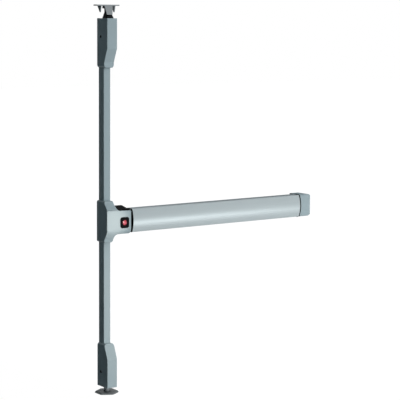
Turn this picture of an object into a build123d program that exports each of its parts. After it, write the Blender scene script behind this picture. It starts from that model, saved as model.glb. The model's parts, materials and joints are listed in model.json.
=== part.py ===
from build123d import *
import math
import os

# Panic exit device with vertical rods, in millimetres.
# X runs along the touch bar, Z is up, and the door face is the plane Y = 0.
# Depth is counted from the door face towards the user, so a depth d lies at Y = -d.
# The origin is the centre of the head's screw pattern, on the door face.

# Working stroke and levers
bar_stroke = 12.0
lever_length = 14.0
lever_pin_radius = 2.5
lever_boss_radius = 5.0
slot_play = 0.28
running_play = 0.05
moving_gap = 0.3

# Touch bar
bar_start = 65.3
bar_length = 580.2
bar_height = 64.0
bar_crown = 54.0
bar_bulge = 7.0
bar_back = 22.0
bar_wall = 2.4
bar_corner = 4.0
bar_web_front = 44.0
bar_web = 2.0

# Carrier rail on the door
rail_start = 49.5
rail_height = 53.0
rail_depth = 28.0
rail_base = 3.0
rail_wall = 2.0
crank_inset = (24.7, 52.0)
pivot_depth = 22.5
pivot_radius = 3.0
hub_radius = 6.0

# Crank plates and the link under them
crank_height = -10.0
crank_plate = 6.0
ear_thickness = 3.0
ear_gap = 0.5
link_top = -19.4
link_thickness = 4.0
link_depth = (3.6, 15.0)

# Head case
spine_width = 34.0
head_height = 112.0
head_end_depth = 36.0
head_depth = 51.5
head_crease = 33.0
crease_groove = (1.6, 1.0)
arm_end = 59.3
arm_top = 28.3
arm_bottom = -34.0
arm_slope = (1.9, 0.4)
shoulder_start = 10.5
shoulder_x = (15.5, 13.0)
case_wall = 2.5
cap_wall = 1.8
rim_round = 1.0
rim_tolerance = 0.02
head_corner = 5.0
plate = 3.0

# Rocker in the head
rocker_x = 14.0
rocker_pin_radius = 4.0
yoke_depth = (7.0, 11.0)
rocker_depth = (12.0, 17.0)
link_plate_depth = (18.0, 21.5)

# Rods and rod covers
rod_radius = 4.0
rod_depth = 12.0
yoke_boss_radius = 6.0
cover_width = 21.0
cover_depth = 24.5
cover_wall = 1.5
cover_insert = 5.0
cover_play = 0.25
cover_corner = 1.2
rod_guide_shares = (0.3, 0.7)
rod_guide_height = 10.0
upper_rod_run = 354.0
lower_rod_run = 275.0

# Latch housings
latch_width = 31.0
latch_depth = 50.0
latch_neck_depth = 34.0
latch_slope = 37.0
latch_corner = 8.0
upper_latch_height = 130.5
lower_latch_height = 118.5
upper_neck = 14.5
lower_neck = 3.0
upper_screw_from_end = 48.0
lower_screw_from_end = 40.0
side_screw_depth = 17.0

# Bolts
upper_bolt_width = 18.0
upper_bolt_depth = (16.0, 42.0)
upper_bolt_reach = 31.0
lower_bolt_radius = 8.0
lower_bolt_depth = 22.0
bolt_play = 0.3
bolt_tip_bevel = 1.2
nose_depth = (24.5, 29.6)
nose_front = (34.6, 9.0)
nose_back = (25.5, 16.0)
latch_spring_radius = (5.0, 6.4)
roll_pin_radius = 1.5

# Strikes
top_strike_gap = 32.6
top_strike_length = 72.0
top_strike_depth = (12.0, 32.0)
top_strike_corner = 4.0
strike_sheet = 3.0
tab_sheet = 2.0
tab_drop = 23.5
tab_flare = 6.5
tab_width = (25.0, 17.0)
lip_depth = (21.0, 24.0)
lip_drop = 7.0
cheek_x = (20.5, 22.5)
cheek_top = (12.0, 31.0)
cheek_foot = (24.0, 27.0)
cheek_drop = 17.0
floor_strike_gap = 13.0
floor_strike_width = 66.0
floor_strike_thickness = 5.0
floor_strike_corner = 6.0
floor_strike_bevel = 3.0
floor_bolt_play = 0.7

# End cap and end bracket
cap_gap = 3.5
cap_length = 39.0
cap_corners = (11.0, 7.0, 10.0)
guide_wall = 1.2
guide_inset = 0.8
guide_lip_height = 3.0
guide_foot_reach = 24.0
bracket_plate = 4.0
bracket_lug = (4.0, 30.0, 12.0)

# Screw holes for the door, the frame and the floor
head_screw_spacing = (15.0, 66.0)
head_screw_hole = 2.5
latch_screw_spacing = 15.0
latch_screw_hole = 2.3
end_screw_spacing = 36.0
end_screw_hole = 2.6
top_strike_screw_spacing = 54.0
top_strike_screw_hole = 2.6
floor_strike_screw_spacing = 38.0
floor_strike_screw_hole = 2.6

# Indicator on the head
badge_centre = (38.4, -3.0)
badge_size = (27.3, 29.5)
badge_corner = 6.0

# Values worked out from the ones above
half_swing = math.degrees(math.asin(bar_stroke / 2 / lever_length))
lever_wander = lever_length * (1 - math.cos(math.radians(half_swing)))
bar_end = bar_start + bar_length
cap_start = bar_end + cap_gap
cap_end = cap_start + cap_length
rail_end = bar_end - 2.5
head_top = head_height / 2
upper_latch_foot = head_top + upper_rod_run
lower_latch_foot = -head_top - lower_rod_run
crown_radius = ((bar_height / 2) ** 2 + bar_bulge**2) / (2 * bar_bulge)
left_crank_x = bar_start + crank_inset[0]
right_crank_x = bar_end - crank_inset[1]
link_bottom = link_top - link_thickness


# Helpers: planes whose local axes are X, Z or depth, and the solids grown from them
def front_plane(depth):
    return Plane(origin=(0, -depth, 0), x_dir=(1, 0, 0), z_dir=(0, -1, 0))


def side_plane(x):
    return Plane(origin=(x, 0, 0), x_dir=(0, -1, 0), z_dir=(-1, 0, 0))


def top_plane(z):
    return Plane(origin=(0, 0, z), x_dir=(1, 0, 0), z_dir=(0, 0, -1))


def from_front(face, d0, d1):
    """Grow an (X, Z) face between two depths."""
    return extrude(front_plane(d0) * face, amount=d1 - d0)


def from_side(face, x0, x1):
    """Grow a (depth, Z) face between two X values."""
    return extrude(side_plane(x1) * face, amount=x1 - x0)


def from_top(face, z0, z1):
    """Grow an (X, depth) face between two heights."""
    return extrude(top_plane(z1) * face, amount=z1 - z0)


def block(x0, x1, d0, d1, z0, z1):
    """Block between two X values, two depths and two heights."""
    low, high = sorted((z0, z1))
    return Pos((x0 + x1) / 2, -(d0 + d1) / 2, (low + high) / 2) * Box(x1 - x0, d1 - d0, high - low)


def pin_y(x, z, d0, d1, radius):
    return from_front(Pos(x, z) * Circle(radius), d0, d1)


def pin_z(x, depth, z0, z1, radius):
    low, high = sorted((z0, z1))
    return from_top(Pos(x, depth) * Circle(radius), low, high)


def pin_x(depth, z, x0, x1, radius):
    low, high = sorted((x0, x1))
    return from_side(Pos(depth, z) * Circle(radius), low, high)


def outline(points, radii):
    """Closed face with one corner radius for each point."""
    return make_face(FilletPolyline(*points, radius=radii, close=True))


def arm_face(start, end, half_width):
    """Flat lever arm with round ends between two centres."""
    length = math.dist(start, end)
    turn = math.degrees(math.atan2(end[1] - start[1], end[0] - start[0]))
    middle = ((start[0] + end[0]) / 2, (start[1] + end[1]) / 2)
    return Pos(*middle) * Rot(0, 0, turn) * SlotCenterToCenter(length, 2 * half_width)


def at_rest(x, y):
    """Turn a lever arm from the middle of its swing to its rest place."""
    angle = math.radians(half_swing)
    return (x * math.cos(angle) - y * math.sin(angle), x * math.sin(angle) + y * math.cos(angle))


def pin_slot(along_first_axis):
    """Slot that takes a lever pin over its whole swing."""
    width = 2 * (lever_pin_radius + slot_play)
    slot = SlotOverall(lever_wander + width, width)
    return slot if along_first_axis else Rot(0, 0, 90) * slot


def front_rim(shape, front_face, min_depth):
    """Edges where the front of a cover meets the sides that follow its front outline."""
    rim = front_face.faces()[0].outer_wire()
    edges = []
    for edge in shape.edges():
        middle = edge @ 0.5
        on_rim = rim.distance_to(Vector(middle.X, middle.Z, 0)) < rim_tolerance
        if on_rim and -middle.Y > min_depth and abs((edge % 0.5).Y) < 0.9:
            edges.append(edge)
    return edges


def moulded_cover(front_face, side_face, wall, x_span, reach):
    """Outer form and inner space of a cover that is open towards the door."""
    outer = from_front(front_face, 0, reach) & from_side(side_face, *x_span)
    outer = fillet(front_rim(outer, front_face, reach / 2), rim_round)
    inner_front = offset(front_face, -wall, kind=Kind.INTERSECTION)
    inner_side = offset(side_face, -wall, kind=Kind.INTERSECTION)
    inner = from_front(inner_front, -1, reach) & from_side(inner_side, *x_span)
    return outer, inner


def countersunk_screw(radius, head_radius, length):
    """Screw along -Z with its flat head at Z = 0 and a cross recess."""
    sink = head_radius - radius
    head = Pos(0, 0, -sink / 2) * Cone(radius, head_radius, sink)
    shank = Pos(0, 0, -(length + sink) / 2) * Cylinder(radius, length - sink)
    recess = Pos(0, 0, -0.5) * (Box(head_radius * 1.1, 0.9, 1) + Box(0.9, head_radius * 1.1, 1))
    return head + shank - recess


def screw_seat(radius, head_radius, length):
    """Space for a countersunk screw that stands at the same place, with room above its head."""
    room = 0.1
    sink = head_radius - radius
    seat = Pos(0, 0, -sink / 2) * Cone(radius + room, head_radius + room, sink)
    seat += Pos(0, 0, 1) * Cylinder(head_radius + room, 2)
    return seat + Pos(0, 0, -length / 2) * Cylinder(radius + room, length)


nodes = {}
cover_back = -10.0
far = 100.0
screw_recess = 0.4


# Touch bar section, in (depth, Z)
def bar_section(inset=0.0, back=bar_back):
    half = bar_height / 2 - inset
    radius = crown_radius - inset
    centre = bar_crown - crown_radius
    edge = centre + math.sqrt(radius**2 - half**2)
    face = make_face(
        [
            Line((back, -half), (edge, -half)),
            ThreePointArc((edge, -half), (centre + radius, 0), (edge, half)),
            Line((edge, half), (back, half)),
            Line((back, half), (back, -half)),
        ]
    )
    front_corners = [v for v in face.vertices() if v.X > edge - 0.01]
    return fillet(front_corners, bar_corner - inset)


bar_inside = bar_section(bar_wall, back=cover_back)
web_back = bar_web_front - bar_web
bar_hollow = bar_inside & (Pos(web_back - far / 2, 0) * Rectangle(far, far))
bar_chamber = bar_inside & (Pos(bar_web_front + far / 2, 0) * Rectangle(far, far))
nodes["push_bar"] = from_side(bar_section() - bar_hollow - bar_chamber, bar_start, bar_end)

# Black end inserts that close the ends of the bar's front chamber and frame its mouth
insert_flange = 1.2
insert_plug = 6.0
rail_clear = rail_depth + bar_stroke + 1
insert_face = bar_section() - Pos(rail_clear - far / 2, 0) * Rectangle(far, rail_height + 6)
plug_face = offset(bar_chamber, -0.25)


def bar_insert(end_x, outward):
    flange = from_side(insert_face, *sorted((end_x, end_x + outward * insert_flange)))
    return flange + from_side(plug_face, *sorted((end_x, end_x - outward * insert_plug)))


nodes["left_bar_insert"] = bar_insert(bar_start, -1)
nodes["right_bar_insert"] = bar_insert(bar_end, 1)

# Carrier rail, a channel screwed to the door behind the bar
rail_half = rail_height / 2
rail = block(rail_start, rail_end, 0, rail_depth, -rail_half, rail_half)
rail -= block(
    rail_start - 1, rail_end + 1, rail_base, rail_depth + 1, rail_wall - rail_half, rail_half - rail_wall
)
for pivot_x in (left_crank_x, right_crank_x):
    rail -= pin_z(pivot_x, pivot_depth, -rail_half - 1, rail_half + 1, pivot_radius)
nodes["carrier_rail"] = rail

# Crank pivots through both walls of the rail
pivot_half = rail_half + 1.2
nodes["crank_pivot_pins"] = Compound(
    children=[
        pin_z(x, pivot_depth, -pivot_half, pivot_half, pivot_radius).solid()
        for x in (left_crank_x, right_crank_x)
    ]
)

# Cranks: one arm carries the bar, the other moves the link
bar_arm = at_rest(lever_length, 0)
link_arm = at_rest(0, -lever_length)
crank_low = crank_height - crank_plate / 2
crank_high = crank_height + crank_plate / 2
hub_half = rail_half - rail_wall - moving_gap
ear_low = crank_low - ear_gap - ear_thickness
ear_high = crank_high + ear_gap + ear_thickness


def crank(pivot_x):
    centre = (pivot_x, pivot_depth)
    bar_pin = (pivot_x + bar_arm[0], pivot_depth + bar_arm[1])
    link_pin = (pivot_x + link_arm[0], pivot_depth + link_arm[1])
    arms = arm_face(centre, bar_pin, lever_boss_radius) + arm_face(centre, link_pin, lever_boss_radius)
    body = from_top(arms, crank_low, crank_high) + pin_z(*centre, -hub_half, hub_half, hub_radius)
    body -= pin_z(*centre, -far, far, pivot_radius + running_play)
    long_pin = pin_z(*bar_pin, ear_low - 1, ear_high + 1, lever_pin_radius)
    low_pin = pin_z(*link_pin, link_bottom - 0.8, crank_high, lever_pin_radius)
    body -= long_pin + low_pin
    return body, Compound(children=[long_pin.solid(), low_pin.solid()])


nodes["left_crank"], nodes["left_crank_pins"] = crank(left_crank_x)
nodes["right_crank"], nodes["right_crank_pins"] = crank(right_crank_x)

# Brackets inside the bar: two slotted ears on a foot that lies on the bar's web
slot_x = lever_length - lever_wander / 2
ear_half_width = 6.0
foot_thickness = 2.5
foot_length = 22.0
foot_half_height = 12.0
bracket_screw_radius = 1.6


def bar_bracket(pivot_x):
    middle = pivot_x + slot_x
    left, right = middle - ear_half_width, middle + ear_half_width
    foot_right = left + foot_length
    foot_back = web_back - foot_thickness
    low, high = crank_height - foot_half_height, crank_height + foot_half_height
    body = block(left, foot_right, foot_back, web_back, low, high)
    pin_depth = pivot_depth + bar_arm[1]
    slot = Pos(middle, pin_depth) * pin_slot(True)
    for z0, z1 in ((ear_low, ear_low + ear_thickness), (ear_high - ear_thickness, ear_high)):
        ear = block(left, right, pin_depth - ear_half_width, foot_back, z0, z1)
        body += ear - from_top(slot, z0 - 1, z1 + 1)
    screws = []
    for z in (low + 3, high - 3):
        place = (foot_right - 5, z)
        shank = pin_y(*place, foot_back, bar_web_front + 1.5, bracket_screw_radius)
        body -= pin_y(*place, foot_back - 1, web_back + 1, bracket_screw_radius)
        nodes["push_bar"] -= pin_y(*place, web_back - 1, bar_web_front + 1, bracket_screw_radius)
        screws.append((shank + pin_y(*place, foot_back - 1.8, foot_back, 3.0)).solid())
    return body, screws


nodes["left_bar_bracket"], left_screws = bar_bracket(left_crank_x)
nodes["right_bar_bracket"], right_screws = bar_bracket(right_crank_x)
nodes["bar_bracket_screws"] = Compound(children=left_screws + right_screws)

# Link between the cranks, with an upright plate that moves the rocker
link_pin_slot_depth = pivot_depth - lever_length + lever_wander / 2
rocker_low_pin = at_rest(0, -lever_length)
rocker_low_x = rocker_x + rocker_low_pin[0]
plate_half = 6.5
link_left = rocker_low_x - plate_half
yoke_clear_x = 2 * bar_stroke - 2
link_right = right_crank_x + link_arm[0] + 9
link = block(yoke_clear_x, link_right, *link_depth, link_bottom, link_top)
link += block(link_left, rail_start + bar_stroke, rocker_depth[0], link_plate_depth[1], link_bottom, link_top)
link -= block(link_left - 1, yoke_clear_x, 0, rocker_depth[0], link_bottom - 1, link_top + 1)
rocker_slot_z = -lever_length + lever_wander / 2
upright_face = Pos(rocker_low_x, (link_bottom - 7.5) / 2) * Rectangle(2 * plate_half, -7.5 - link_bottom)
upright_face -= Pos(rocker_low_x, rocker_slot_z) * pin_slot(False)
link += from_front(upright_face, *link_plate_depth)
for pivot_x in (left_crank_x, right_crank_x):
    slot = Pos(pivot_x + link_arm[0], link_pin_slot_depth) * pin_slot(False)
    link -= from_top(slot, link_bottom - 1, link_top + 1)

# Return spring on its guide rod, between a seat on the rail and a lug on the link
spring_start = left_crank_x + 30
spring_length = 50.0
spring_radius = (3.5, 5.0)
spring_rod_radius = 2.8
spring_axis = (9.5, -11.0)
seat_thickness = 3.0
lug_right = spring_start + spring_length + seat_thickness
link += block(spring_start + spring_length, lug_right, 4.0, link_depth[1], link_top, -4.5)
link -= pin_x(*spring_axis, spring_start, lug_right + 1, spring_rod_radius + 0.5)
nodes["sync_link"] = link
spring_seat = block(
    spring_start - seat_thickness, spring_start, rail_base, link_depth[1] + 1, link_top + 1.2, -4.5
)
spring_seat += block(
    spring_start - 14, spring_start, rail_base, rail_base + 1.6, link_top + 1.2, -4.5
)
spring_seat -= pin_x(*spring_axis, spring_start - 20, spring_start + 1, spring_rod_radius)
nodes["spring_seat"] = spring_seat
nodes["spring_guide_rod"] = pin_x(*spring_axis, spring_start - seat_thickness, lug_right + 8, spring_rod_radius)
nodes["return_spring"] = pin_x(
    *spring_axis, spring_start, spring_start + spring_length, spring_radius[1]
) - pin_x(*spring_axis, spring_start - 1, lug_right, spring_radius[0])

# Head base plate on the door, with a pivot for the rocker and ears for the cover screws
base_half = spine_width / 2 - case_wall - 1
base_reach = head_top - cover_insert - 1
base_step = (head_screw_spacing[0] / 2 + head_screw_hole + 0.8, base_reach - 14.0)
base_corner = 5.0
base_arm = (arm_bottom + 7, arm_top - 4)
base_outline = [
    (-base_half, -base_reach),
    (base_corner, -base_reach),
    (base_step[0], -base_step[1]),
    (base_step[0], base_arm[0]),
    (rail_start, base_arm[0]),
    (rail_start, base_arm[1]),
    (base_step[0], base_arm[1]),
    base_step,
    (base_corner, base_reach),
    (-base_half, base_reach),
]
head_base = from_front(make_face(Polyline(*base_outline, close=True)), 0, plate)
for x in (-head_screw_spacing[0] / 2, head_screw_spacing[0] / 2):
    for z in (-head_screw_spacing[1] / 2, head_screw_spacing[1] / 2):
        head_base -= pin_y(x, z, -1, plate + 1, head_screw_hole)
cover_screw = (1.5, 3.2, 7.5)
cover_screw_x = (30.0, 44.0)
cover_screw_depth = 24.0
screw_ear_x = (cover_screw_x[0] - 6, cover_screw_x[1] + 4)
screw_ear_low = arm_bottom + arm_slope[1] + case_wall + 0.1
screw_ear_z = (screw_ear_low, screw_ear_low + 2.5)
head_base += block(*screw_ear_x, 0, cover_screw_depth + 6, *screw_ear_z)
head_base += block(*screw_ear_x, 0, plate, screw_ear_z[0], base_arm[0] + 1)
for x in cover_screw_x:
    head_base -= pin_z(x, cover_screw_depth, arm_bottom, 0, cover_screw[0])
spacer_radius = 5.5
spacer_end = rocker_depth[0] - moving_gap
head_base += pin_y(rocker_x, 0, plate, spacer_end, spacer_radius)
head_base -= pin_y(rocker_x, 0, -1, far, rocker_pin_radius)
nodes["head_base"] = head_base

# Rocker pivot: pin and retaining ring
ring_start = rocker_depth[1] + moving_gap
nodes["rocker_pivot_pin"] = pin_y(rocker_x, 0, 0.5, ring_start + 3, rocker_pin_radius)
nodes["rocker_retaining_ring"] = pin_y(rocker_x, 0, ring_start, ring_start + 1.2, 6.2) - pin_y(
    rocker_x, 0, ring_start - 1, ring_start + 3, rocker_pin_radius
)

# Rocker: left pin lifts the lower rod, right pin draws the upper rod down, low pin takes the link
left_pin = at_rest(-lever_length, 0)
right_pin = at_rest(lever_length, 0)
pin_places = [(rocker_x + x, z) for x, z in (left_pin, right_pin, rocker_low_pin)]
rocker_face = Pos(rocker_x, 0) * Circle(8.0)
for place in pin_places:
    rocker_face += arm_face((rocker_x, 0), place, lever_boss_radius)
rocker = from_front(rocker_face, *rocker_depth)
rocker -= pin_y(rocker_x, 0, 0, far, rocker_pin_radius + running_play)
rocker_pins = [
    pin_y(*place, yoke_depth[0] - 0.8, rocker_depth[1], lever_pin_radius) for place in pin_places[:2]
]
rocker_pins.append(pin_y(*pin_places[2], rocker_depth[0], link_plate_depth[1] + 0.8, lever_pin_radius))
for pin in rocker_pins:
    rocker -= pin
nodes["rocker"] = rocker
nodes["rocker_pins"] = Compound(children=[pin.solid() for pin in rocker_pins])

# Yokes: slotted plates in front of the door that end in a boss for the rod
boss_near, boss_far = 38.0, 52.0
slot_half = lever_pin_radius + slot_play
lower_pin_z = pin_places[0][1]
upper_pin_z = pin_places[1][1]
lower_slot_x = rocker_x - lever_length + lever_wander / 2
upper_slot_x = rocker_x + lever_length - lever_wander / 2
yoke_edge = 3.0
lower_yoke_top = lower_pin_z + slot_half + yoke_edge
lower_face = Pos(lower_slot_x, (lower_yoke_top - boss_near - 4) / 2) * Rectangle(
    2 * yoke_boss_radius, lower_yoke_top + boss_near + 4
)
lower_face -= Pos(lower_slot_x, lower_pin_z) * pin_slot(True)
lower_yoke = from_front(lower_face, *yoke_depth)
lower_yoke += pin_z(0, rod_depth, -boss_far, -boss_near, yoke_boss_radius)
lower_yoke -= pin_z(0, rod_depth, -far, -boss_near - 2, rod_radius)
nodes["lower_yoke"] = lower_yoke

step_z = lower_yoke_top + 2 * bar_stroke + 1.3
bridge_z = (bar_stroke + spacer_radius + 0.8, 26.0)
leg_left = upper_slot_x - slot_half - lever_wander - yoke_edge + 0.8
leg_right = upper_slot_x + slot_half + lever_wander + yoke_edge - 1
leg_bottom = upper_pin_z - slot_half - yoke_edge
upper_outline = [
    (-6, boss_near + 4),
    (-6, step_z),
    (9.0, step_z),
    (13.0, bridge_z[0]),
    (leg_left, bridge_z[0]),
    (leg_left, leg_bottom),
    (leg_right, leg_bottom),
    (leg_right, bridge_z[1]),
    (12.0, bridge_z[1]),
    (6.0, 33.0),
    (6.0, boss_near + 4),
]
upper_face = make_face(Polyline(*upper_outline, close=True))
upper_face -= Pos(upper_slot_x, upper_pin_z) * pin_slot(True)
upper_yoke = from_front(upper_face, *yoke_depth)
upper_yoke += pin_z(0, rod_depth, boss_near, boss_far, yoke_boss_radius)
upper_yoke -= pin_z(0, rod_depth, boss_near + 2, far, rod_radius)
nodes["upper_yoke"] = upper_yoke

# Head cover: front outline and side profile, met and hollowed
spine_half = spine_width / 2
head_front = outline(
    [
        (-spine_half, -head_top),
        (shoulder_start, -head_top),
        (shoulder_x[1], arm_bottom + arm_slope[1]),
        (arm_end, arm_bottom),
        (arm_end, arm_top),
        (shoulder_x[0], arm_top + arm_slope[0]),
        (shoulder_start, head_top),
        (-spine_half, head_top),
    ],
    [head_corner, 7, 10, 5, 2, 10, 5, head_corner],
)
head_side = outline(
    [
        (cover_back, -head_top),
        (head_end_depth, -head_top),
        (head_end_depth + 2, -head_top + 9),
        (head_depth, -26.0),
        (head_depth, head_crease),
        (head_end_depth + 3, head_top - 8),
        (head_end_depth, head_top),
        (cover_back, head_top),
    ],
    [0, 0, 14, 18, 0, 14, 0, 0],
)
case_x = (-spine_half - 5, arm_end + 5)
head_outer, head_inner = moulded_cover(head_front, head_side, case_wall, case_x, 60)
head_cover = head_outer - head_inner
cover_hole = cover_width / 2 + cover_play
notch_half = cover_insert + 1
for z in (head_top, -head_top):
    head_cover -= block(-cover_hole, cover_hole, -1, cover_depth + cover_play, z - notch_half, z + notch_half)
head_cover -= block(
    rail_start - 0.5, arm_end + 1, -1, rail_depth + 0.5, -rail_half - 0.3, rail_half + 0.3
)
head_cover -= block(
    -spine_half - 1, arm_end + 1, head_depth - crease_groove[0], head_depth + 1,
    head_crease - crease_groove[1], head_crease,
)
top_cap_x = (16.5, arm_end - case_wall - 0.5)
top_cap_depth = (3.0, head_depth - case_wall - 0.5)
cap_low = rail_half
cap_tops = (arm_top + 3.7, arm_top + 10.0)
cap_slope = (top_cap_depth[1] - 7.5, top_cap_depth[0] + 8.0)
head_cover -= block(
    top_cap_x[0] - 0.3, top_cap_x[1] + 0.3, 1, top_cap_depth[1] + 0.3, arm_top - 5, cap_tops[1] + 1
)
arm_drop = arm_slope[1] / (arm_end - shoulder_x[1])
cover_screw_places = [
    Pos(x, -cover_screw_depth, arm_bottom + arm_drop * (arm_end - x) + screw_recess) * Rot(180, 0, 0)
    for x in cover_screw_x
]
for place in cover_screw_places:
    head_cover -= place * screw_seat(*cover_screw)
badge_plug = (badge_size[0] - 3.3, badge_size[1] - 3.3)
badge_hole = Pos(*badge_centre) * RectangleRounded(badge_plug[0] + 0.3, badge_plug[1] + 0.3, badge_corner - 1)
head_cover -= from_front(badge_hole, head_depth - case_wall - 1, head_depth + 1)
nodes["head_cover"] = head_cover

# Black cap that closes the top of the arm
cap_profile = outline(
    [
        (top_cap_depth[0], cap_low),
        (top_cap_depth[1], cap_low),
        (top_cap_depth[1], cap_tops[0]),
        (cap_slope[0], cap_tops[0]),
        (cap_slope[1], cap_tops[1]),
        (top_cap_depth[0], cap_tops[1]),
    ],
    [0, 0, 2, 6, 3, 2],
)
cap_core = offset(cap_profile, -cap_wall, kind=Kind.INTERSECTION)
arm_top_cap = from_side(cap_profile, *top_cap_x)
core_x = (top_cap_x[0] + cap_wall, top_cap_x[1] - cap_wall)
core_depth = (top_cap_depth[0] + cap_wall, top_cap_depth[1] - cap_wall)
arm_top_cap -= from_side(cap_core, *core_x)
arm_top_cap -= block(*core_x, *core_depth, cap_low - 1, cap_low + cap_wall + 0.2)
nodes["arm_top_cap"] = arm_top_cap

# Indicator: black bezel in the cover's front and a plain round lens
bezel_plate = 1.0
bezel = from_front(
    Pos(*badge_centre) * RectangleRounded(*badge_size, badge_corner),
    head_depth,
    head_depth + bezel_plate,
)
bezel += from_front(
    Pos(*badge_centre) * RectangleRounded(*badge_plug, badge_corner - 1.2),
    head_depth - case_wall,
    head_depth,
)
lens_radius = 7.0
lens_seat = head_depth - 0.8
bezel -= pin_y(*badge_centre, lens_seat, head_depth + 5, lens_radius)
nodes["badge_bezel"] = bezel
lens_dome = 24.0
lens_sphere = Pos(badge_centre[0], -(head_depth + 1.6 - lens_dome), badge_centre[1]) * Sphere(lens_dome)
nodes["indicator_lens"] = pin_y(*badge_centre, lens_seat, head_depth + 5, lens_radius) & lens_sphere

# Screws that hold the head cover, from below
nodes["head_cover_screws"] = Compound(
    children=[(place * countersunk_screw(*cover_screw)).solid() for place in cover_screw_places]
)


# Rod cover: a channel on the door, open at its back, with nylon guides for the rod
def rod_cover(z0, z1):
    half = cover_width / 2
    low, high = sorted((z0, z1))
    channel = block(-half, half, 0, cover_depth, low, high)
    edges = channel.edges().filter_by(Axis.Z).sort_by(Axis.Y)[:2]
    channel = fillet(edges, cover_corner)
    channel -= block(cover_wall - half, half - cover_wall, -1, cover_depth - cover_wall, low - 1, high + 1)
    guides = []
    for share in rod_guide_shares:
        guide_low = low + share * (high - low) - rod_guide_height / 2
        guide_high = guide_low + rod_guide_height
        guide = block(cover_wall - half, half - cover_wall, 1, cover_depth - cover_wall, guide_low, guide_high)
        guides.append((guide - pin_z(0, rod_depth, low, high, rod_radius + moving_gap)).solid())
    return channel, Compound(children=guides)


nodes["upper_rod_cover"], nodes["upper_rod_guides"] = rod_cover(
    head_top - cover_insert, upper_latch_foot + cover_insert
)
nodes["lower_rod_cover"], nodes["lower_rod_guides"] = rod_cover(
    -head_top + cover_insert, lower_latch_foot - cover_insert
)

# Latches: lengths below are counted from the housing's free end, where its bolt comes out
carrier_from_end = (54.0, 68.0)
guide_from_end = (5.0, 30.0)
near_hole_from_end = 44.5
carrier_half = 8.0
latch_half = latch_width / 2
guide_half = latch_half - case_wall - 0.2
ear_inner = 10.6
spring_plate_from_foot = (22.0, 26.0)
far_hole_from_foot = 14.5
latch_screw = (2.0, 3.8, 5.0)


def latch(name, foot, height, neck, screw_from_end, bolt, bolt_space, carrier_reach):
    """Housing, base, guide, carrier, spring and screws of one latch; foot is its rod end."""
    side = 1 if foot > 0 else -1
    end = foot + side * height

    def from_end(length):
        return end - side * length

    def from_foot(length):
        return foot + side * length

    # Cover, narrower in depth where the rod cover comes in
    front = outline(
        [(-latch_half, foot), (latch_half, foot), (latch_half, end), (-latch_half, end)],
        [latch_corner, latch_corner, 0.8, 0.8],
    )
    profile = outline(
        [
            (cover_back, foot),
            (latch_neck_depth, foot),
            (latch_neck_depth + 0.5, from_foot(neck)),
            (latch_depth, from_foot(neck + latch_slope)),
            (latch_depth, end),
            (cover_back, end),
        ],
        [0, 0, 2 if neck < 5 else 8, 12, 0, 0],
    )
    outer, inner = moulded_cover(front, profile, case_wall, (-latch_half - 5, latch_half + 5), 60)
    cover = outer - inner
    cover -= block(-cover_hole, cover_hole, -1, cover_depth + cover_play, foot - 4, foot + 4)
    cover -= bolt_space
    screw_z = from_end(screw_from_end)
    screws = []
    for sign in (-1, 1):
        place = Pos(sign * (latch_half - screw_recess), -side_screw_depth, screw_z) * Rot(0, sign * 90, 0)
        cover -= place * screw_seat(*latch_screw)
        screws.append((place * countersunk_screw(*latch_screw)).solid())
    nodes[name + "_latch_cover"] = cover
    nodes[name + "_cover_screws"] = Compound(children=screws)

    # Base plate with screw ears and a seat for the spring
    base = block(-guide_half, guide_half, 0, plate, from_foot(latch_corner + 0.5), from_end(3))
    for sign in (-1, 1):
        x0, x1 = sorted((sign * ear_inner, sign * guide_half))
        base += block(x0, x1, 0, side_screw_depth + 6, screw_z - 6.5, screw_z + 6.5)
        base -= pin_x(side_screw_depth, screw_z, sign * 5, sign * 20, latch_screw[0])
        for z in (from_foot(far_hole_from_foot), from_end(near_hole_from_end)):
            base -= pin_y(sign * latch_screw_spacing / 2, z, -1, plate + 1, latch_screw_hole)
    seat_low, seat_high = (from_foot(length) for length in spring_plate_from_foot)
    base += block(-carrier_half, carrier_half, 0, rod_depth + 9, seat_low, seat_high)
    base -= pin_z(0, rod_depth, seat_low - 20, seat_high + 20, rod_radius + moving_gap)
    nodes[name + "_latch_base"] = base

    # Guide block with the passage of the bolt
    guide = block(
        -guide_half, guide_half, plate, latch_depth - case_wall - 2,
        from_end(guide_from_end[0]), from_end(guide_from_end[1]),
    )
    nodes[name + "_bolt_guide"] = guide - bolt_space

    # Carrier that joins the rod to the bolt, with a roll pin across the rod
    carrier_near, carrier_back = (from_end(length) for length in carrier_from_end)
    carrier = block(-carrier_half, carrier_half, 5.5, carrier_reach, carrier_near, carrier_back)
    carrier -= pin_z(0, rod_depth, carrier_near - side * 3, carrier_back - side * 5, rod_radius)
    pin_height = (carrier_near + carrier_back) / 2 - side * 2
    roll_pin = pin_x(rod_depth, pin_height, -carrier_half, carrier_half, roll_pin_radius)
    nodes[name + "_bolt_carrier"] = carrier - roll_pin
    nodes[name + "_roll_pin"] = roll_pin
    nodes[name + "_bolt"] = bolt

    # Spring round the rod, from the seat on the base to the carrier
    spring = pin_z(0, rod_depth, seat_high, carrier_back, latch_spring_radius[1])
    nodes[name + "_latch_spring"] = spring - pin_z(0, rod_depth, seat_low, carrier_near, latch_spring_radius[0])

    # Rod from its yoke in the head to the carrier
    rod = pin_z(0, rod_depth, side * (boss_near + 2), carrier_near - side * 3, rod_radius)
    nodes[name + "_rod"] = rod - roll_pin


upper_end = upper_latch_foot + upper_latch_height
lower_end = lower_latch_foot - lower_latch_height

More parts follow.
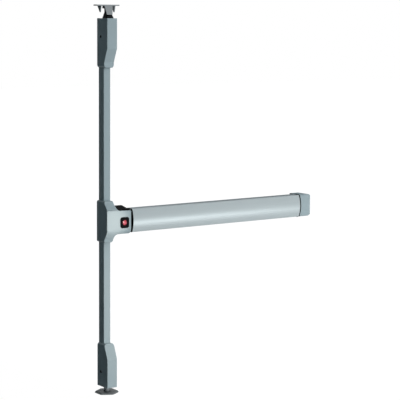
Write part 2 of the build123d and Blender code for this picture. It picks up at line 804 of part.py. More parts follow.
# Upper bolt: square in its guide, with a nose that leans towards the user
nose_top = upper_end + upper_bolt_reach
upper_bolt_foot = upper_end - carrier_from_end[0]
back_d, front_d = upper_bolt_depth
nose = outline(
    [
        (back_d, upper_bolt_foot),
        (front_d, upper_bolt_foot),
        (front_d, upper_end + 2.5),
        (nose_front[0], upper_end + nose_front[1]),
        (nose_depth[1], nose_top),
        (nose_depth[0], nose_top),
        (nose_back[0], upper_end + nose_back[1]),
        (back_d, upper_end + 1.5),
    ],
    [0, 0, 1, 2, 1.5, 1.5, 4, 1],
)
upper_half = upper_bolt_width / 2
upper_bolt = from_side(nose, -upper_half, upper_half)
upper_space = block(
    -upper_half - bolt_play, upper_half + bolt_play, back_d - bolt_play, front_d + bolt_play,
    upper_end - guide_from_end[1] - 1, upper_end + 5,
)
latch(
    "upper", upper_latch_foot, upper_latch_height, upper_neck, upper_screw_from_end,
    upper_bolt, upper_space, front_d,
)

# Lower bolt: round, down into the floor strike
strike_top = lower_end - floor_strike_gap
strike_bottom = strike_top - floor_strike_thickness
bolt_tip = strike_bottom + 0.5
lower_bolt = pin_z(0, lower_bolt_depth, lower_end + carrier_from_end[0], bolt_tip, lower_bolt_radius)
lower_bolt = chamfer(lower_bolt.edges().group_by(Axis.Z)[0], bolt_tip_bevel)
lower_space = pin_z(
    0, lower_bolt_depth, lower_end + guide_from_end[1] + 1, lower_end - 5, lower_bolt_radius + bolt_play
)
latch(
    "lower", lower_latch_foot, lower_latch_height, lower_neck, lower_screw_from_end,
    lower_bolt, lower_space, lower_bolt_depth + lower_bolt_radius,
)

# Top strike: a plate under the door frame, with a front tab, a catch lip and two cheeks
plate_low = upper_end + top_strike_gap
plate_high = plate_low + strike_sheet
plate_middle = sum(top_strike_depth) / 2
wings = Pos(0, plate_middle) * RectangleRounded(
    top_strike_length, top_strike_depth[1] - top_strike_depth[0], top_strike_corner
)
top_strike = from_top(wings, plate_low, plate_high)
tab_back = top_strike_depth[1] - tab_sheet
tab_profile = make_face(
    Polyline(
        (tab_back, plate_low + 0.5),
        (top_strike_depth[1], plate_low + 0.5),
        (top_strike_depth[1] + tab_flare, plate_low - tab_drop),
        (tab_back + tab_flare, plate_low - tab_drop),
        close=True,
    )
)
tab_root, tab_tip = tab_width[0] / 2, tab_width[1] / 2
tab_front = make_face(
    Polyline(
        (-tab_root, plate_low + 1),
        (tab_root, plate_low + 1),
        (tab_tip, plate_low - tab_drop),
        (-tab_tip, plate_low - tab_drop),
        close=True,
    )
)
top_strike += from_side(tab_profile, -tab_root, tab_root) & from_front(tab_front, 0, top_strike_depth[1] + 30)
top_strike += block(-tab_root, tab_root, *lip_depth, plate_low - lip_drop, plate_low + 0.5)
cheek = make_face(
    Polyline(
        (cheek_top[0], plate_low + 0.5),
        (cheek_top[1], plate_low + 0.5),
        (cheek_foot[1], plate_low - cheek_drop),
        (cheek_foot[0], plate_low - cheek_drop),
        close=True,
    )
)
for sign in (-1, 1):
    top_strike += from_side(cheek, *sorted((sign * cheek_x[0], sign * cheek_x[1])))
    top_strike -= pin_z(
        sign * top_strike_screw_spacing / 2, plate_middle, plate_low - 1, plate_high + 1, top_strike_screw_hole
    )
nodes["top_strike"] = top_strike

# Floor strike: a rounded six-sided plate with the bolt hole and two screw holes
hexagon = Rot(0, 0, 30) * RegularPolygon(floor_strike_width / 2, 6)
hexagon = fillet(hexagon.vertices(), floor_strike_corner)
floor_strike = from_top(Pos(0, lower_bolt_depth) * hexagon, strike_bottom, strike_top)
floor_strike = chamfer(floor_strike.edges().group_by(Axis.Z)[-1], floor_strike_bevel)
floor_hole = lower_bolt_radius + floor_bolt_play
floor_strike -= pin_z(0, lower_bolt_depth, strike_bottom - 1, strike_top + 1, floor_hole)
for sign in (-1, 1):
    floor_strike -= pin_z(
        0, lower_bolt_depth + sign * floor_strike_screw_spacing / 2,
        strike_bottom - 1, strike_top + 1, floor_strike_screw_hole,
    )
nodes["floor_strike"] = floor_strike

# End bracket on the door, which carries the rail's end, the guide and the cap
bracket_right = cap_end - case_wall - 0.4
lug_left = bracket_right - bracket_lug[0]
bracket_half = rail_half - 4
end_bracket = block(rail_end, bracket_right, 0, bracket_plate, -bracket_half, bracket_half)
end_bracket += block(lug_left, bracket_right, 0, bracket_lug[1], -bracket_lug[2], bracket_lug[2])
end_screw_x = (rail_end + lug_left) / 2
for sign in (-1, 1):
    end_bracket -= pin_y(end_screw_x, sign * end_screw_spacing / 2, -1, bracket_plate + 1, end_screw_hole)
cap_screw_depth = 20.0
end_bracket -= pin_x(cap_screw_depth, 0, lug_left - 1, cap_end + 1, 1.5)
nodes["end_bracket"] = end_bracket

# Black guide: a wall that closes the gap before the cap, with lips above and below the bar's end
guide_inner = bar_height / 2 + moving_gap
guide_outer = guide_inner + guide_wall
guide_wall_x = (bar_end + insert_flange + moving_gap, cap_start)
guide_lip_x = (bar_end - 3, cap_start)
guide_lip_depth = (bar_back + 8, bar_back + 20)
guide_outline = bar_section(guide_inset, back=bracket_plate)
end_guide = from_side(guide_outline, *guide_wall_x)
lips = block(*guide_lip_x, *guide_lip_depth, -guide_outer, guide_outer)
lips -= block(guide_lip_x[0] - 1, guide_wall_x[0], 0, far, -guide_inner, guide_inner)
guide_lip_low = guide_inner - guide_lip_height
lips -= block(*guide_lip_x, 0, far, -guide_lip_low, guide_lip_low)
end_guide += lips
guide_foot_half = bar_height / 2 - case_wall - 0.3
guide_foot_x = (guide_wall_x[0], cap_start + guide_foot_reach)
end_guide += block(*guide_foot_x, bracket_plate, bracket_plate + 2, -guide_foot_half, guide_foot_half)
for sign in (-1, 1):
    end_guide -= pin_y(end_screw_x, sign * end_screw_spacing / 2, 0, far, 2 * end_screw_hole)
nodes["end_guide"] = end_guide

# End cap: the bar's section, closed and rounded at its right end
cap_half = bar_height / 2
cap_front = outline(
    [(cap_start, -cap_half), (cap_end, -cap_half), (cap_end, cap_half), (cap_start, cap_half)],
    [0, cap_corners[0], cap_corners[1], 0],
)
cap_plan = outline(
    [(cap_start, cover_back), (cap_end, cover_back), (cap_end, bar_crown), (cap_start, bar_crown)],
    [0, 0, cap_corners[2], 0],
)


def cap_body(inset, back, left):
    front = offset(cap_front, -inset, kind=Kind.INTERSECTION) if inset else cap_front
    plan = offset(cap_plan, -inset, kind=Kind.INTERSECTION) if inset else cap_plan
    side = from_side(bar_section(inset, back=back), left, cap_end - inset)
    grown_front = from_front(front, back, 80)
    grown_plan = from_top(plan, -cap_half, cap_half)
    if inset:
        grown_front += block(left, cap_start + 10, back, 80, inset - cap_half, cap_half - inset)
        grown_plan += block(left, cap_start + 10, back, 80, -cap_half, cap_half)
    return side & grown_front & grown_plan


end_cap = cap_body(0, 0.0, cap_start) - cap_body(case_wall, -1.0, cap_start - 1)
cap_screw = (1.5, 3.5, 7.0)
cap_screw_place = Pos(cap_end - screw_recess, -cap_screw_depth, 0) * Rot(0, 90, 0)
nodes["end_cap"] = end_cap - cap_screw_place * screw_seat(*cap_screw)
nodes["end_cap_screw"] = cap_screw_place * countersunk_screw(*cap_screw)

# One STEP file for each node
os.makedirs("parts", exist_ok=True)
for name, shape in nodes.items():
    export_step(shape, f"parts/{name}.step")
    size = shape.bounding_box().size
    print(f"{name}: {len(shape.solids())} solids, {size.X:.1f} x {size.Y:.1f} x {size.Z:.1f} mm")
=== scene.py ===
# %% [markdown]
# Panic exit device with vertical rods: a touch bar, a head, two covered rods and two latches.
# The CAD model already has every piece at its real size, so this notebook adds what a CAD model
# lacks: the camera, the light, the floor, the finishes and the springs' wire. Every length is in
# metres.

# %% Load the fixed frame
import json
import math

import bpy
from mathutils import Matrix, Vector


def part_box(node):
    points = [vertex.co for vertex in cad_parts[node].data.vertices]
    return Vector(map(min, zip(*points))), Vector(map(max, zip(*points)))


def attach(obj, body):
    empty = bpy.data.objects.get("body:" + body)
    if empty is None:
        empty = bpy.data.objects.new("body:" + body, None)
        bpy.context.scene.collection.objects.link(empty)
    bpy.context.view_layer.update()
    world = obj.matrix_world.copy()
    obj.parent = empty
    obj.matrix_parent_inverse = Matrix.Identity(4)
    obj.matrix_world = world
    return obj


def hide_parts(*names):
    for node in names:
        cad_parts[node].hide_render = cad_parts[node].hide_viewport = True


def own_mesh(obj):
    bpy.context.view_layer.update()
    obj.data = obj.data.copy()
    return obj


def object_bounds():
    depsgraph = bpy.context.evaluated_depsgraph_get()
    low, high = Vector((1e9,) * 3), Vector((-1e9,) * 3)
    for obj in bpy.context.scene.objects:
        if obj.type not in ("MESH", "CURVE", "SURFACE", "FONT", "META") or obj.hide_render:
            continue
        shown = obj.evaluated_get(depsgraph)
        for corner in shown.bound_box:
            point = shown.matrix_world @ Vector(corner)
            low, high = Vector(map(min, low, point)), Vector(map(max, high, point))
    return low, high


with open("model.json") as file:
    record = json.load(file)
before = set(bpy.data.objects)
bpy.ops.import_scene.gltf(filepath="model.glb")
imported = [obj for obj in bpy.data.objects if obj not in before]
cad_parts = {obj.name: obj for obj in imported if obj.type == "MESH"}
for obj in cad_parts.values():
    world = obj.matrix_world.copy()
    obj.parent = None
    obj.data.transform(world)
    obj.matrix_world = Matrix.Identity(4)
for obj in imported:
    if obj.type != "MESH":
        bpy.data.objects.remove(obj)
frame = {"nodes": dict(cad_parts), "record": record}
nodes = frame["nodes"]
MM = 0.001
# The turn that stands a flat plane or a camera that looks down upright.
UPRIGHT = math.pi / 2


def plain(box):
    return [[float(value) for value in corner] for corner in box]


cad_box = plain(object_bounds())
FLOOR_HEIGHT = cad_box[0][2]
print("nodes:", len(nodes), "box:", cad_box)

# %% [markdown]
# The camera stands four metres off, left of the device and above it, with a long lens, so that the
# rods stay nearly upright though it looks a little down. A small roll takes out most of the lean
# that is left. A large lens shift would hold them quite upright, but it would push the device out
# of every other view, so the shift is only as large as those views leave room for.

# %% Camera
LENS = 134.3
SENSOR_WIDTH = 36
LENS_SHIFT = -0.06
CAMERA_PLACE = (-2.1209, -3.3736, 0.5446)
VIEW_ANGLE = math.radians(35.89)
TILT = math.radians(6.073)
ROLL = math.radians(-0.357)

camera_data = bpy.data.cameras.new("camera")
camera_data.lens = LENS
camera_data.sensor_width = SENSOR_WIDTH
camera_data.shift_y = LENS_SHIFT
camera = bpy.data.objects.new("camera", camera_data)
camera.location = CAMERA_PLACE
camera.rotation_euler = (UPRIGHT - TILT, ROLL, -VIEW_ANGLE)
bpy.context.scene.collection.objects.link(camera)
bpy.context.scene.camera = camera
bpy.context.scene.view_settings.view_transform = "Standard"
print("camera:", CAMERA_PLACE, "lens", LENS)

# %% [markdown]
# Colours are written as sRGB hex values, as a paint chart gives them, and one function turns them
# into the linear values that the shaders add and multiply. One more function adds a node, sets it
# and links it, so that each material below reads as a list of what it is made of.


# %% Colour and node helpers
def colour(hex_value, share=1.0):
    """Linear colour of an sRGB hex value such as 9FAEB1, or a darker share of it."""
    channels = [int(hex_value[i : i + 2], 16) / 255 for i in (0, 2, 4)]
    linear = [c / 12.92 if c <= 0.04045 else ((c + 0.055) / 1.055) ** 2.4 for c in channels]
    return (*(c * share for c in linear), 1)


def add(tree, kind, inputs=None, **settings):
    """Add a node; an input is a value, or an output socket to link from."""
    node = tree.nodes.new(kind)
    for name, value in settings.items():
        setattr(node, name, value)
    for name, value in (inputs or {}).items():
        if isinstance(value, bpy.types.NodeSocket):
            tree.links.new(value, node.inputs[name])
        else:
            node.inputs[name].default_value = value
    return node


def new_material(name, **values):
    """A material with one Principled shader and the object's own coordinates."""
    material = bpy.data.materials.new(name)
    material.use_nodes = True
    tree = material.node_tree
    shader = tree.nodes["Principled BSDF"]
    for socket, value in values.items():
        shader.inputs[socket.replace("_", " ")].default_value = value
    place = add(tree, "ShaderNodeTexCoord").outputs["Object"]
    return material, tree, shader, place


# Places of the colour sockets on a Mix node, whose colours share their names with its numbers.
FIRST, SECOND, MIXED = 6, 7, 2


def backdrop_rays(tree):
    """1 for rays from the camera, a mirror or glass, which see a white backdrop; 0 for light."""
    ray = add(tree, "ShaderNodeLightPath").outputs
    seen = ray["Is Camera Ray"]
    for kind in ("Is Glossy Ray", "Is Transmission Ray"):
        either = {0: seen, 1: ray[kind]}
        seen = add(tree, "ShaderNodeMath", either, operation="MAXIMUM").outputs[0]
    return seen


# %% [markdown]
# A studio for a silver-grey product. The sky itself is the large soft lamp: it is bright towards
# the front right and fades to a dim, slightly blue shade on the left, so the fronts come out light
# and the left sides dark, with no hard shadow between them. A weaker second glow behind the device
# shows its back to whoever walks round it, and reaches nothing that the first view shows. The
# camera and reflections see the sky white.

# %% World
WORLD_DARK = 0.04
WORLD_LIGHT = 2.95
KEY_SIDE = Vector((0.72, -0.68, -0.25)).normalized()
KEY_EDGE = 0.1
WORLD_BACK = 2.0
BACK_SIDE = Vector((0.35, 0.93, -0.1)).normalized()
BACK_EDGE = 0.3
BACKDROP_GLOW = 1.0
SHADE_TINT = colour("CCDAE4")
WHITE = colour("FFFFFF")


def side_glow(tree, direction, side, edge, most):
    """A glow that grows from 0 at its edge to `most` straight towards one side of the sky."""
    towards = {0: direction, 1: side}
    towards = add(tree, "ShaderNodeVectorMath", towards, operation="DOT_PRODUCT")
    glow = {"Value": towards.outputs["Value"], "From Min": edge, "From Max": 1, "To Max": most}
    return add(tree, "ShaderNodeMapRange", glow).outputs["Result"]


world = bpy.data.worlds.new("studio")
bpy.context.scene.world = world
world.use_nodes = True
tree = world.node_tree
tree.nodes.clear()
direction = add(tree, "ShaderNodeTexCoord").outputs["Generated"]
key_share = side_glow(tree, direction, KEY_SIDE, KEY_EDGE, 1)
key_glow = {"Factor": key_share, "A": WORLD_DARK, "B": WORLD_LIGHT}
key_glow = add(tree, "ShaderNodeMix", key_glow, data_type="FLOAT").outputs["Result"]
back_glow = side_glow(tree, direction, BACK_SIDE, BACK_EDGE, WORLD_BACK)
fill = add(tree, "ShaderNodeMath", {0: key_glow, 1: back_glow}, operation="ADD").outputs[0]
seen = backdrop_rays(tree)
strength = {"Factor": seen, "A": fill, "B": BACKDROP_GLOW}
strength = add(tree, "ShaderNodeMix", strength, data_type="FLOAT").outputs["Result"]
whiteness = {0: key_share, 1: seen}
whiteness = add(tree, "ShaderNodeMath", whiteness, operation="MAXIMUM").outputs[0]
tint = {"Factor": whiteness, FIRST: SHADE_TINT, SECOND: WHITE}
tint = add(tree, "ShaderNodeMix", tint, data_type="RGBA").outputs[MIXED]
backdrop = add(tree, "ShaderNodeBackground", {"Color": tint, "Strength": strength})
add(tree, "ShaderNodeOutputWorld", {"Surface": backdrop.outputs["Background"]})
print("world fill:", WORLD_DARK, "to", WORLD_LIGHT)

# %% [markdown]
# Three lamps do what the soft sky can't. A long low strip lamp in front of the bar is mirrored
# along it as a bright line. Two spots whose cones fade all the way out lift the head, which stands
# out in front of the door, and the lower rod and latch.


# %% Lamps
WARM_WHITE = (1.0, 0.88, 0.8)
STRIP_PLACE = (0.95, -1.15, -0.38)
STRIP_TARGET = (1.17, 0.05, -0.06)
STRIP_SIZE = (1.3, 0.12)
STRIP_POWER = 4.4
HEAD_SPOT = Vector((0.35, -1.3, 0.0))
HEAD_TARGET = (0.004, -0.05, 0.002)
HEAD_CONE = math.radians(5.0)
HEAD_POWER = 43
HEAD_BULB = 0.5 * MM
LOWER_SPOT = (0.5, -1.6, 0.2)
LOWER_TARGET = (0.0, -0.03, -0.26)
LOWER_CONE = math.radians(18)
LOWER_POWER = 23
LOWER_BULB = 10 * MM


def place_lamp(name, data, place, target):
    """Put a lamp in the scene, pointing from its place to a target."""
    lamp = bpy.data.objects.new(name, data)
    lamp.location = place
    lamp.rotation_euler = (Vector(target) - Vector(place)).to_track_quat("-Z", "Y").to_euler()
    bpy.context.scene.collection.objects.link(lamp)


def soft_panel(name, place, target, width, height, power):
    """A rectangular soft lamp."""
    data = bpy.data.lights.new(name, "AREA")
    data.shape = "RECTANGLE"
    data.size = width
    data.size_y = height
    data.energy = power
    place_lamp(name, data, place, target)


def soft_spot(name, place, target, cone, power, bulb):
    """A warm spot lamp whose cone fades all the way from its middle to its edge."""
    data = bpy.data.lights.new(name, "SPOT")
    data.energy = power
    data.spot_size = cone
    data.color = WARM_WHITE
    data.spot_blend = 1.0
    data.shadow_soft_size = bulb
    place_lamp(name, data, place, target)


soft_panel("bar_strip", STRIP_PLACE, STRIP_TARGET, *STRIP_SIZE, STRIP_POWER)
soft_spot("head_spot", HEAD_SPOT, HEAD_TARGET, HEAD_CONE, HEAD_POWER, HEAD_BULB)
soft_spot("lower_spot", LOWER_SPOT, LOWER_TARGET, LOWER_CONE, LOWER_POWER, LOWER_BULB)

# %% [markdown]
# A photographer takes light away with dark cloth on a frame, called a flag. One stands upright left
# of the device and one behind its left, so that its left sides see them and stay dark. One lies on
# the floor beside them, because pale paint there would light the lower latch from below. The camera
# sees no flag.

# %% Flags
FLAG_TOP = 1.5
FLAG_CORNERS = ((-0.05, 0.13), (-1.4, 0.55), (-1.4, -1.0))
FLOOR_FLAG_MIDDLE = (-0.72, -0.2)
FLOOR_FLAG_SIZE = (1.36, 1.7)
FLOOR_FLAG_LIFT = 2 * MM

cloth_colour = colour("5E676A")
flag_cloth, *_ = new_material("slate grey flag cloth", Base_Color=cloth_colour, Roughness=1.0)


def flag(name, middle, turn, width, height):
    """A rectangle of dark cloth that takes light away and that the camera doesn't see."""
    bpy.ops.object.select_all(action="DESELECT")
    bpy.ops.mesh.primitive_plane_add(size=1, location=middle, rotation=turn)
    cloth = bpy.context.object
    cloth.name = name
    cloth.scale = (width, height, 1)
    cloth.data.materials.append(flag_cloth)
    cloth.visible_camera = False
    return cloth


for name, start, end in zip(("back_flag", "side_flag"), FLAG_CORNERS, FLAG_CORNERS[1:]):
    run = Vector(end) - Vector(start)
    middle = (Vector(start) + Vector(end)) / 2
    height = FLAG_TOP - FLOOR_HEIGHT
    turn = (UPRIGHT, 0, math.atan2(run.y, run.x))
    flag(name, (*middle, FLOOR_HEIGHT + height / 2), turn, run.length, height)
    print(name, "is", round(run.length, 2), "wide and", round(height, 2), "high")
floor_flag_middle = (*FLOOR_FLAG_MIDDLE, FLOOR_HEIGHT + FLOOR_FLAG_LIFT)
flag("floor_flag", floor_flag_middle, (0, 0, 0), *FLOOR_FLAG_SIZE)

# %% [markdown]
# Two more flags do one small job each. A card close to the head's spot cuts its light along the
# crease of the head, so the shoulder above stays in shade: the card's lower edge lies on the line
# from the lamp to the crease. The other stands behind the device, only for mirrors: the bar's
# narrow top face reflects it as a dark line, and it throws no shadow.

# %% Card and mirror flag
CREASE = Vector((0.02, -0.054, 0.0315))
CARD_SIZE = (0.05, 0.04)
CARD_FROM_SPOT = 0.15
MIRROR_FLAG_MIDDLE = (1.06, 0.97, 0.35)
MIRROR_FLAG_SIZE = (1.8, 0.7)

to_crease = CREASE - HEAD_SPOT
card_edge = HEAD_SPOT + to_crease * (CARD_FROM_SPOT / to_crease.y)
card_middle = card_edge + Vector((0, 0, CARD_SIZE[1] / 2))
flag("crease_card", card_middle, (UPRIGHT, 0, 0), *CARD_SIZE)
print("crease_card's lower edge at", [round(value, 4) for value in card_edge])

mirror_turn = (UPRIGHT, 0, -VIEW_ANGLE)
mirror_flag = flag("mirror_flag", MIRROR_FLAG_MIDDLE, mirror_turn, *MIRROR_FLAG_SIZE)
mirror_flag.visible_diffuse = False
mirror_flag.visible_shadow = False
print("mirror_flag at", MIRROR_FLAG_MIDDLE)

# %% [markdown]
# The floor is a wide plane under the floor strike. To the camera it is almost as white as the
# backdrop, so that no horizon shows, but a share of it is real paint that keeps the soft shadows.

# %% Floor
FLOOR_SIZE = 30
FLOOR_GLOW = 1.11
FLOOR_PAINT_SHARE = 0.1

bpy.ops.object.select_all(action="DESELECT")
bpy.ops.mesh.primitive_plane_add(size=FLOOR_SIZE, location=(0, 0, FLOOR_HEIGHT))
floor = bpy.context.object
floor.name = "floor"
floor_paint = bpy.data.materials.new("matt white floor paint")
floor_paint.use_nodes = True
tree = floor_paint.node_tree
tree.nodes.clear()
paint = add(tree, "ShaderNodeBsdfDiffuse", {"Color": colour("D4D6D6")})
glow = add(tree, "ShaderNodeEmission", {"Color": WHITE, "Strength": FLOOR_GLOW})
share = {0: backdrop_rays(tree), 1: 1 - FLOOR_PAINT_SHARE}
share = add(tree, "ShaderNodeMath", share, operation="MULTIPLY").outputs[0]
mixed = add(tree, "ShaderNodeMixShader", {0: share, 1: paint.outputs[0], 2: glow.outputs[0]})
add(tree, "ShaderNodeOutputMaterial", {"Surface": mixed.outputs[0]})
floor.data.materials.append(floor_paint)
print("floor at", round(FLOOR_HEIGHT, 4))

# %% [markdown]
# Hands, trolleys and cleaning cloths rub a door fitting on its edges first. The Bevel node looks
# for another face within a millimetre or so: near an edge its normal turns away from the face's
# own, and that difference is the mask of the rubbed edge. Noise breaks it up, because wear is never
# even. The same rounded normal lets every edge catch the light as a real one does, with no change
# to the mesh.

# %% Rounded and rubbed edges
EDGE_WIDTH = 1.2 * MM
EDGE_RAYS = 6
# How well the two normals agree where the wear starts and where it is full.
WEAR_STARTS, WEAR_FULL = 0.99, 0.85
RUB_SIZE = 9 * MM
# The noise values between which a rub fades in.
RUB_STARTS, RUB_FULL = 0.38, 0.62


def rounded_edges(tree):
    """Normals of a surface whose edges are slightly round."""
    bevel = add(tree, "ShaderNodeBevel", {"Radius": EDGE_WIDTH}, samples=EDGE_RAYS)
    return bevel.outputs["Normal"]


def rubbed_edges(tree, place, rounded):
    """Mask that is 1 where an edge is rubbed and 0 on the open faces."""
    face = add(tree, "ShaderNodeNewGeometry").outputs["Normal"]
    agree = add(tree, "ShaderNodeVectorMath", {0: rounded, 1: face}, operation="DOT_PRODUCT")
    agree = agree.outputs["Value"]
    edge = {"Value": agree, "From Min": WEAR_STARTS, "From Max": WEAR_FULL}
    edge = add(tree, "ShaderNodeMapRange", edge).outputs["Result"]
    rub = {"Vector": place, "Scale": 1 / RUB_SIZE, "Detail": 3}
    rub = add(tree, "ShaderNodeTexNoise", rub).outputs["Fac"]
    rub = {"Value": rub, "From Min": RUB_STARTS, "From Max": RUB_FULL}
    rub = add(tree, "ShaderNodeMapRange", rub).outputs["Result"]
    return add(tree, "ShaderNodeMath", {0: edge, 1: rub}, operation="MULTIPLY").outputs[0]


# %% [markdown]
# Every finish but the lens's is built in the same steps: a pattern drives its tone and its gloss,
# wear may change both, and a fine relief bends the light.


# %% Tone, wear and relief
def tone_and_gloss(tree, pattern, hex_value, darkest, roughness, spread):
    """Tone and roughness that follow a pattern, both lowest where the pattern is 0."""
    tone = {"Factor": pattern, FIRST: colour(hex_value, darkest), SECOND: colour(hex_value)}
    tone = add(tree, "ShaderNodeMix", tone, data_type="RGBA").outputs[MIXED]
    below, above = spread
    gloss = {"Value": pattern, "To Min": roughness - below, "To Max": roughness + above}
    gloss = add(tree, "ShaderNodeMapRange", gloss).outputs["Result"]
    return tone, gloss


def worn_tone(tree, rubbed, tone, rubbed_hex):
    """The tone of a surface whose rubbed edges show a paler colour."""
    worn = {"Factor": rubbed, FIRST: tone, SECOND: colour(rubbed_hex)}
    return add(tree, "ShaderNodeMix", worn, data_type="RGBA").outputs[MIXED]


def finish(tree, shader, tone, gloss, relief):
    """Link tone, roughness and a relief's normals to the shader."""
    normal = add(tree, "ShaderNodeBump", relief).outputs["Normal"]
    for socket, source in {"Base Color": tone, "Roughness": gloss, "Normal": normal}.items():
        tree.links.new(source, shader.inputs[socket])


# %% [markdown]
# The covers, the head and the end cap are zinc and aluminium under silver-grey polyester powder
# coat. The powder melts in an oven into a skin with a fine orange-peel texture a millimetre or two
# across, which breaks up the gloss. Handling leaves broad, faint changes of gloss, and rubbed edges
# are paler and smoother. It is a paint, so it isn't metallic, and its skin reflects less than
# glass.


# %% Powder coat
def powder_coat(name, hex_value, rubbed_hex, roughness):
    """Orange-peel skin with faint changes of tone and gloss and rubbed edges."""
    peel_size = 1.4 * MM
    peel_height = 0.02 * MM
    patch_size = 45 * MM
    darkest = 0.93
    gloss_spread = (0.05, 0.07)
    rub_polish = 0.12
    material, tree, shader, place = new_material(name, Specular_IOR_Level=0.25)
    patches = {"Vector": place, "Scale": 1 / patch_size, "Detail": 3}
    patches = add(tree, "ShaderNodeTexNoise", patches).outputs["Fac"]
    tone, gloss = tone_and_gloss(tree, patches, hex_value, darkest, roughness, gloss_spread)
    rounded = rounded_edges(tree)
    rubbed = rubbed_edges(tree, place, rounded)
    tone = worn_tone(tree, rubbed, tone, rubbed_hex)
    gloss = {"Factor": rubbed, "A": gloss, "B": roughness - rub_polish}
    gloss = add(tree, "ShaderNodeMix", gloss, data_type="FLOAT").outputs["Result"]
    peel = {"Vector": place, "Scale": 1 / peel_size, "Detail": 2}
    peel = add(tree, "ShaderNodeTexNoise", peel).outputs["Fac"]
    relief = {"Height": peel, "Normal": rounded, "Distance": peel_height, "Strength": 0.6}
    finish(tree, shader, tone, gloss, relief)
    return material


cover_paint = powder_coat("silver grey polyester powder coat", "A6B6BA", "B7C3C6", 0.42)
print("made", cover_paint.name)

# %% [markdown]
# The bar is extruded aluminium, satin etched and anodised. Extrusion draws fine die lines along its
# length, under a millimetre apart and many centimetres long. They spread a lamp's reflection across
# the bar, which is what makes the soft bright band. A noise stretched along X makes the lines. The
# oxide skin scatters light as a paint does, so it is less than half metallic to the shader.


# %% Anodised extrusion
def anodised_extrusion(name, hex_value, rubbed_hex, roughness):
    """Satin anodised aluminium with die lines along X and rubbed edges."""
    line_gap = 0.7 * MM
    line_length = 180 * MM
    line_height = 0.006 * MM
    darkest = 0.9
    gloss_spread = (0.05, 0.05)
    material, tree, shader, place = new_material(name, Metallic=0.4)
    stretch = (1 / line_length, 1 / line_gap, 1 / line_gap)
    drawn = add(tree, "ShaderNodeMapping", {"Vector": place, "Scale": stretch}).outputs[0]
    lines = {"Vector": drawn, "Scale": 1.0, "Detail": 4}
    lines = add(tree, "ShaderNodeTexNoise", lines).outputs["Fac"]
    tone, gloss = tone_and_gloss(tree, lines, hex_value, darkest, roughness, gloss_spread)
    rounded = rounded_edges(tree)
    rubbed = rubbed_edges(tree, place, rounded)
    tone = worn_tone(tree, rubbed, tone, rubbed_hex)
    relief = {"Height": lines, "Normal": rounded, "Distance": line_height, "Strength": 0.5}
    finish(tree, shader, tone, gloss, relief)
    return material


bar_metal = anodised_extrusion("satin anodised extruded aluminium", "B5BFC1", "C8CFD0", 0.36)
print("made", bar_metal.name)

# %% [markdown]
# The black parts are moulded polyamide with a fine spark-eroded grain: the inserts, the arm's cap,
# the bezel and the end guide. The rod guides are the same plastic without pigment. The grain keeps
# the gloss low, and fingers polish it in patches a few centimetres wide.


# %% Moulded plastic
def moulded_plastic(name, hex_value, roughness):
    """Injection-moulded plastic with a fine even grain, polished here and there by handling."""
    grain_size = 0.6 * MM
    grain_height = 0.02 * MM
    patch_size = 25 * MM
    darkest = 0.85
    gloss_spread = (0.1, 0.08)
    material, tree, shader, place = new_material(name, Specular_IOR_Level=0.05)
    patches = {"Vector": place, "Scale": 1 / patch_size, "Detail": 2}
    patches = add(tree, "ShaderNodeTexNoise", patches).outputs["Fac"]
    tone, gloss = tone_and_gloss(tree, patches, hex_value, darkest, roughness, gloss_spread)
    grain = {"Vector": place, "Scale": 1 / grain_size}
    grain = add(tree, "ShaderNodeTexVoronoi", grain).outputs["Distance"]
    relief = {"Height": grain, "Distance": grain_height, "Strength": 0.4}
    finish(tree, shader, tone, gloss, relief)
    return material


black_plastic = moulded_plastic("black moulded polyamide", "0B0C0E", 0.7)
nylon = moulded_plastic("natural moulded polyamide", "DAD6C6", 0.5)
print("made", black_plastic.name, "and", nylon.name)

# %% [markdown]
# Steel pieces are zinc plated: a pale, slightly blue metal whose bath leaves faint patches and a
# fine crystal grain. The floor strike's zinc is darker and rougher, with more contrast: the darker
# tone is painted shade for the lower latch's shadow and dark reflection on it. The screws in the
# latches' sides are passivated black. The bolt guides are tumbled zinc castings, a little paler and
# rougher. Springs are drawn wire, darker and smoother, and the upper bolt is blackened steel with
# an oiled sheen. One function makes them all, because only the colour, the gloss, the grain's size
# and the contrast change.


# %% Plated, cast and blackened metal
def grained_metal(name, hex_value, roughness, grain_size, contrast):
    """Metal whose tone and gloss change from grain to grain."""
    grain_height = 0.01 * MM
    gloss_spread = (0.06, 0.06)
    material, tree, shader, place = new_material(name, Metallic=1.0)
    grains = add(tree, "ShaderNodeTexVoronoi", {"Vector": place, "Scale": 1 / grain_size})
    value = add(tree, "ShaderNodeSeparateColor", {"Color": grains.outputs["Color"]})
    value = value.outputs["Red"]
    tone, gloss = tone_and_gloss(tree, value, hex_value, 1 - contrast, roughness, gloss_spread)
    relief = {"Height": grains.outputs["Distance"], "Distance": grain_height, "Strength": 0.3}
    finish(tree, shader, tone, gloss, relief)
    return material


# Each has its name, colour, roughness, grain size and contrast.
zinc_steel = grained_metal("blue zinc plated steel", "8F9598", 0.4, 1.6 * MM, 0.12)
# The floor strike's darker zinc is painted shade: the lower latch's shadow and dark reflection on
# it.
painted_shade_zinc = grained_metal("zinc plated steel darkened as painted shade", "777C7E", 0.5, 1.6 * MM, 0.3)
black_zinc = grained_metal("black passivated zinc plating", "17191B", 0.5, 0.8 * MM, 0.2)
cast_zinc = grained_metal("tumbled zinc casting", "9A9FA2", 0.5, 1.2 * MM, 0.2)
spring_steel = grained_metal("drawn spring steel", "85878A", 0.3, 0.8 * MM, 0.1)
black_steel = grained_metal("oil blackened steel", "1B1D20", 0.42, 0.7 * MM, 0.3)
print("made", zinc_steel.name, cast_zinc.name, spring_steel.name, black_steel.name)
print("made", painted_shade_zinc.name, "and", black_zinc.name)

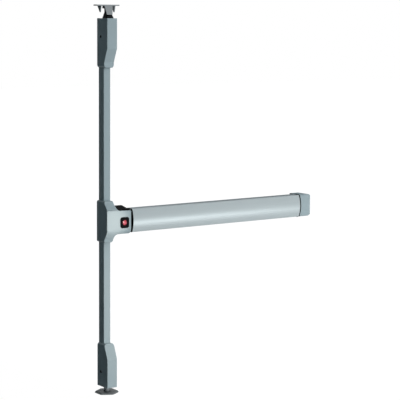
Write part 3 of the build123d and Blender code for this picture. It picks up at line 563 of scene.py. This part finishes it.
# %% [markdown]
# The indicator is a plain red lens of clear acrylic: saturated and smooth. Its colour is a little
# lighter in the middle, a painted highlight of light on its dome. The distance from the lens's
# middle drives the colour, so it stays round whatever way the bezel is turned.

# %% Red lens
# The lighter red in the middle is a painted highlight; the edge red is the lens's own colour.
HIGHLIGHT_MIDDLE_RED = colour("D03C56")
EDGE_RED = colour("8E0E24")

red_lens, tree, shader, place = new_material("red acrylic lens", Roughness=0.26, Coat_Weight=0.3)
lens_low, lens_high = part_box("indicator_lens")
lens_middle = (lens_low + lens_high) / 2
lens_radius = (lens_high.x - lens_low.x) / 2
centred = add(tree, "ShaderNodeVectorMath", {0: place, 1: lens_middle}, operation="SUBTRACT")
reach = add(tree, "ShaderNodeVectorMath", {0: centred.outputs[0]}, operation="LENGTH")
outward = {"Value": reach.outputs["Value"], "From Min": 0, "From Max": lens_radius}
outward = add(tree, "ShaderNodeMapRange", outward).outputs["Result"]
red = {"Factor": outward, FIRST: HIGHLIGHT_MIDDLE_RED, SECOND: EDGE_RED}
red = add(tree, "ShaderNodeMix", red, data_type="RGBA").outputs[MIXED]
tree.links.new(red, shader.inputs["Base Color"])
print("made", red_lens.name, "radius", round(lens_radius, 4))

# %% [markdown]
# Each CAD node takes the finish of its material slot in the record, so the first table below has
# one line for each slot and not one for each node. The second has the few nodes that take another
# finish: black passivated screws, and a floor strike whose darker zinc is painted shade.

# %% Give every node its finish
FINISHES = {
    "silver_enamel": cover_paint,
    "anodised_aluminium": bar_metal,
    "zinc_plated_steel": zinc_steel,
    "black_oxide_steel": black_steel,
    "black_plastic": black_plastic,
    "natural_nylon": nylon,
    "spring_steel": spring_steel,
    "red_lens_plastic": red_lens,
    "cast_zinc": cast_zinc,
}
OWN_FINISHES = {
    # Painted shade: the floor strike is darkened for the latch's shadow and dark reflection on it.
    "floor_strike": painted_shade_zinc,
    "upper_cover_screws": black_zinc,
    "lower_cover_screws": black_zinc,
}
for part in frame["record"]["subparts"]:
    mesh = nodes[part["node"]].data
    mesh.materials.clear()
    mesh.materials.append(OWN_FINISHES.get(part["node"], FINISHES[part["material_slot"]]))

# %% [markdown]
# Three compression springs work inside: one returns the bar, on its guide rod, and one in each
# latch throws the bolt. The CAD model holds their room as plain tubes, so here each one is wound as
# real wire: a round profile is drawn at the coil's radius and a Screw modifier carries it up the
# axis, one pitch per turn. That is quicker and more even than a curve with a bevel. Each spring has
# few enough turns to stay open.

# %% Coil springs
WIRE_SIDES = 10
STEPS_PER_TURN = 20


def wind_wire(name, wire, coil_radius, turns, pitch):
    """Wind a closed wire round the Z axis and upwards, starting at the origin's height."""
    bpy.ops.object.select_all(action="DESELECT")
    section = {"location": (coil_radius, 0, 0), "rotation": (UPRIGHT, 0, 0)}
    bpy.ops.mesh.primitive_circle_add(vertices=WIRE_SIDES, radius=wire / 2, **section)
    spring = bpy.context.object
    spring.name = name
    bpy.ops.object.transform_apply(location=True, rotation=True, scale=True)
    winding = spring.modifiers.new("winding", "SCREW")
    winding.axis = "Z"
    winding.screw_offset = pitch
    winding.iterations = turns
    winding.steps = winding.render_steps = STEPS_PER_TURN
    bpy.ops.object.modifier_apply(modifier=winding.name)
    bpy.ops.object.mode_set(mode="EDIT")
    bpy.ops.mesh.select_all(action="SELECT")
    bpy.ops.mesh.fill_holes(sides=WIRE_SIDES)
    bpy.ops.mesh.select_all(action="SELECT")
    bpy.ops.mesh.normals_make_consistent(inside=False)
    bpy.ops.object.mode_set(mode="OBJECT")
    bpy.ops.object.shade_smooth()
    return spring


def coil_spring(node, wire, turns, upright):
    """Wind a spring in a node's room, with its seat at the node's high or low end.

    Its axis is Z, or X where it isn't upright.
    """
    low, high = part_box(node)
    along = 2 if upright else 0
    length = high[along] - low[along]
    pitch = (length - wire) / turns
    spring = wind_wire(node + "_coil", wire, (high.y - low.y) / 2 - wire / 2, turns, pitch)
    start = (low + high) / 2
    start[along] = low[along] + wire / 2
    spring.location = start
    spring.rotation_euler = (0, 0, 0) if upright else (0, UPRIGHT, 0)
    bpy.ops.object.transform_apply(location=True, rotation=True, scale=True)
    spring.data.materials.append(spring_steel)
    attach(spring, "door_side")
    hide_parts(node)
    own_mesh(spring)
    print(spring.name, turns, "turns, pitch", round(pitch / MM, 2), "mm in", round(length / MM, 1))


coil_spring("return_spring", 1.5 * MM, 13, upright=False)
coil_spring("upper_latch_spring", 1.4 * MM, 9, upright=True)
coil_spring("lower_latch_spring", 1.4 * MM, 6, upright=True)
